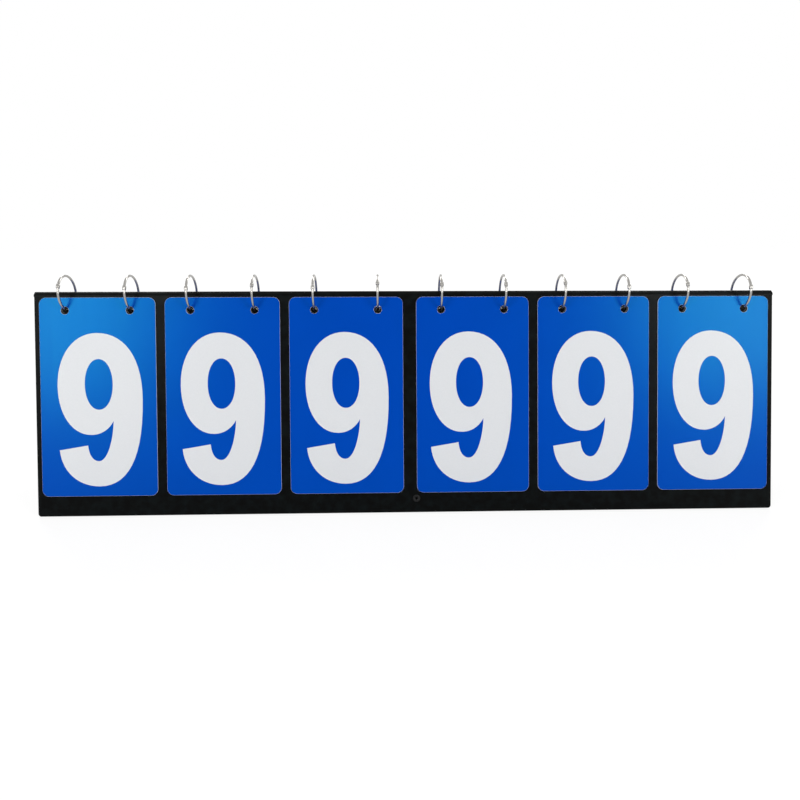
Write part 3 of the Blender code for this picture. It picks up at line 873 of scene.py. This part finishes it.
def ink_finish():
    """Opaque white ink: clean and even under the film, with the same gloss and orange peel."""
    finish, tree, shader, place = start_finish("white_screen_ink")
    peel = add_node(tree, "TexNoise", {"Vector": (place, "Object"), "Scale": 1 / FILM_PEEL, "Detail": 2.0})
    tint = add_node(
        tree, "Mix", {0: (peel, 0), 6: linear(INK_WHITE), 7: linear(INK_SHADE)}, data_type="RGBA",
    )
    fine = add_node(tree, "Bump", {"Height": (peel, 0), "Distance": 0.02 * MM, "Strength": 0.4})
    feed(tree, shader, {
        "Base Color": (tint, 2), "Normal": (fine, 0), "Roughness": 0.4, "Specular IOR Level": 0.15,
    })
    return finish


INK = ink_finish()


def print_numeral(name, digit, centre, face, card_top, inside, at_back, body):
    """One numeral filled between its curves, laid on a card's face at an offset and made to ride it."""
    outline = bpy.data.curves.new(name, "CURVE")
    outline.dimensions = "2D"
    outline.fill_mode = "BOTH"
    outline.extrude = INK_THICKNESS
    outline.resolution_u = NUMERAL_STEPS
    for loop in NUMERALS[digit]:
        spline = outline.splines.new("BEZIER")
        spline.bezier_points.add(len(loop) - 1)
        spline.use_cyclic_u = True
        for point, places in zip(spline.bezier_points, loop):
            point.handle_left_type = point.handle_right_type = "FREE"
            ends = [((u - 0.5) * NUMERAL_WIDTH, -v * NUMERAL_HEIGHT, 0.0) for u, v in places]
            point.co, point.handle_left, point.handle_right = ends
    numeral = bpy.data.objects.new(name, outline)
    stage.collection.objects.link(numeral)
    take_up(numeral)
    bpy.ops.object.convert(target="MESH")
    numeral = bpy.context.object
    put(numeral, (centre, -face, -card_top - NUMERAL_TOP), (pi / 2, 0.0, pi if inside else 0.0))
    settle(numeral, at_back)
    shade(numeral)
    numeral.data.materials.clear()
    numeral.data.materials.append(INK)
    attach(numeral, body)


half = CARD_THICKNESS / 2
for column, (centre, shift) in enumerate(zip(COLUMN_CENTRES, PRINT_SHIFTS), 1):
    for side, offset, x, shown, hidden in (
        ("front", FRONT_CARD_OFFSET, centre, "9", "0"), ("back", BACK_CARD_OFFSET, -centre, "9", "8"),
    ):
        body = f"column_{column}_{side}_card"
        top = hang_depth(offset, CARD_SLACK)
        at_back = side == "back"
        print_numeral(body + "_numeral_out", shown, x + shift, offset + half, top, False, at_back, body)
        print_numeral(body + "_numeral_in", hidden, x, offset - half, top, True, at_back, body)

# The cards already turned. Eight more of the same sheets lie behind each column, loose on the rings,
# so their edges are a little out of line. Together they are the thick pale band on the back's sides.
STACK_SLACK = 0.6 * MM
STACK_MIDDLE = 6.4 * MM
STACK_SHEETS = 8
STACK_HOLE_SIDES = 20
SHEET_PITCH = 0.45 * MM
STACK_STAGGER = 0.4 * MM
STACK_TURN = radians(0.12)


def scatter(first, second, first_step, second_step):
    """A fixed uneven value from -1 to 1, for pieces that don't lie quite alike."""
    return sin(first_step * first + second_step * second)


for column, centre in enumerate(COLUMN_CENTRES, 1):
    node = f"column_{column}_card_stack"
    top = hang_depth(STACK_MIDDLE, STACK_SLACK)
    sheets = []
    for sheet in range(STACK_SHEETS):
        offset = STACK_MIDDLE + (sheet - (STACK_SHEETS - 1) / 2) * SHEET_PITCH
        x = -centre + STACK_STAGGER * scatter(sheet, column, 7.3, 2.1)
        sink = STACK_STAGGER * (0.5 + 0.5 * scatter(sheet, column, 4.7, 3.3))
        turn = STACK_TURN * scatter(sheet, column, 5.9, 1.7)
        sheets.append(cut_card(node + "_sheet", offset, top + sink, x, turn, sides=STACK_HOLE_SIDES))
    stack = join(sheets, sheets[0])
    stack.name = node + "_sheets"
    face_card(stack, node, "back_panel")
    outermost = STACK_MIDDLE + (STACK_SHEETS - 1) / 2 * SHEET_PITCH + CARD_THICKNESS / 2
    print_numeral(node + "_numeral", "8", -centre, outermost, top, False, True, "back_panel")

# The rings. Loose-leaf rings of 2 mm nickel-plated steel wire, each two half rounds that are pinned
# together in a knuckle at the front and snap into a nib and notch opposite.
WIRE_RADIUS = 1.0 * MM
RING_STEPS = 96
WIRE_STEPS = 14
# The knuckle's place on its ring, in degrees from the back over the top, and how far that strays.
KNUCKLE_PLACE = 150.0
KNUCKLE_STRAY = 9.0
KNUCKLE_RADIUS = 1.45 * MM
KNUCKLE_LENGTH = 3.6 * MM
PIN_RADIUS = 0.55 * MM
PIN_LENGTH = 3.1 * MM
CLASP_RADIUS = 1.22 * MM
CLASP_LENGTH = 2.4 * MM
BARREL_SIDES = 20
BARREL_RIM = 0.28
RING_SHADE = 50.0
NICKEL = "#B4B2AE"
NICKEL_DULL = "#8F8D89"
NICKEL_RUB = 0.7 * MM


def nickel_finish():
    """Nickel plate: bright, with fine rub marks from the cards' holes."""
    finish, tree, shader, place = start_finish("nickel_plated_steel")
    rub = add_node(
        tree, "TexNoise",
        {"Vector": (place, "Object"), "Scale": 1 / NICKEL_RUB, "Detail": 5.0, "Roughness": 0.7},
    )
    tint = add_node(
        tree, "Mix", {0: (rub, 0), 6: linear(NICKEL), 7: linear(NICKEL_DULL)}, data_type="RGBA",
    )
    dull = add_node(tree, "MapRange", {0: (rub, 0), 1: 0.35, 2: 0.7, 3: 0.13, 4: 0.26})
    scratch = add_node(tree, "Bump", {"Height": (rub, 0), "Distance": 0.006 * MM, "Strength": 0.5})
    feed(tree, shader, {
        "Base Color": (tint, 2), "Roughness": (dull, 0), "Normal": (scratch, 0), "Metallic": 1.0,
    })
    return finish


def add_barrel(name, radius, length, place, turn):
    """A short cylinder with its rims rounded, in place round a ring."""
    bpy.ops.object.select_all(action="DESELECT")
    bpy.ops.mesh.primitive_cylinder_add(
        vertices=BARREL_SIDES, radius=radius, depth=length, location=place, rotation=turn,
    )
    barrel = bpy.context.object
    barrel.name = name
    fix_place()
    break_edges(barrel, radius * BARREL_RIM, segments=2)
    return barrel


PLATED = nickel_finish()
for column, centre in enumerate(COLUMN_CENTRES, 1):
    for side, sign in (("left", -1), ("right", 1)):
        node = f"column_{column}_{side}_ring"
        hub = Vector((centre + sign * HOLE_SPACING / 2, 0.0, RIDGE_HEIGHT + RING_RISE))
        bpy.ops.object.select_all(action="DESELECT")
        bpy.ops.mesh.primitive_torus_add(
            major_radius=RING_RADIUS, minor_radius=WIRE_RADIUS, major_segments=RING_STEPS,
            minor_segments=WIRE_STEPS, location=hub, rotation=(0.0, pi / 2, 0.0),
        )
        ring = bpy.context.object
        ring.name = node + "_wire"
        fix_place()
        knuckle = radians(KNUCKLE_PLACE + KNUCKLE_STRAY * scatter(column, sign, 5.1, 2.0))
        clasp = knuckle + pi
        parts = [ring]
        for label, angle, radius, length, turn in (
            ("knuckle", knuckle, KNUCKLE_RADIUS, KNUCKLE_LENGTH, (knuckle, 0.0, 0.0)),
            ("pin", knuckle, PIN_RADIUS, PIN_LENGTH, (0.0, pi / 2, 0.0)),
            ("clasp", clasp, CLASP_RADIUS, CLASP_LENGTH, (clasp, 0.0, 0.0)),
        ):
            place = hub + Vector((0.0, cos(angle), sin(angle))) * RING_RADIUS
            parts.append(add_barrel(node + "_" + label, radius, length, place, turn))
        join(parts, ring)
        shade(ring, RING_SHADE)
        ring.data.materials.append(PLATED)
        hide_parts(node)
        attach(ring, node)
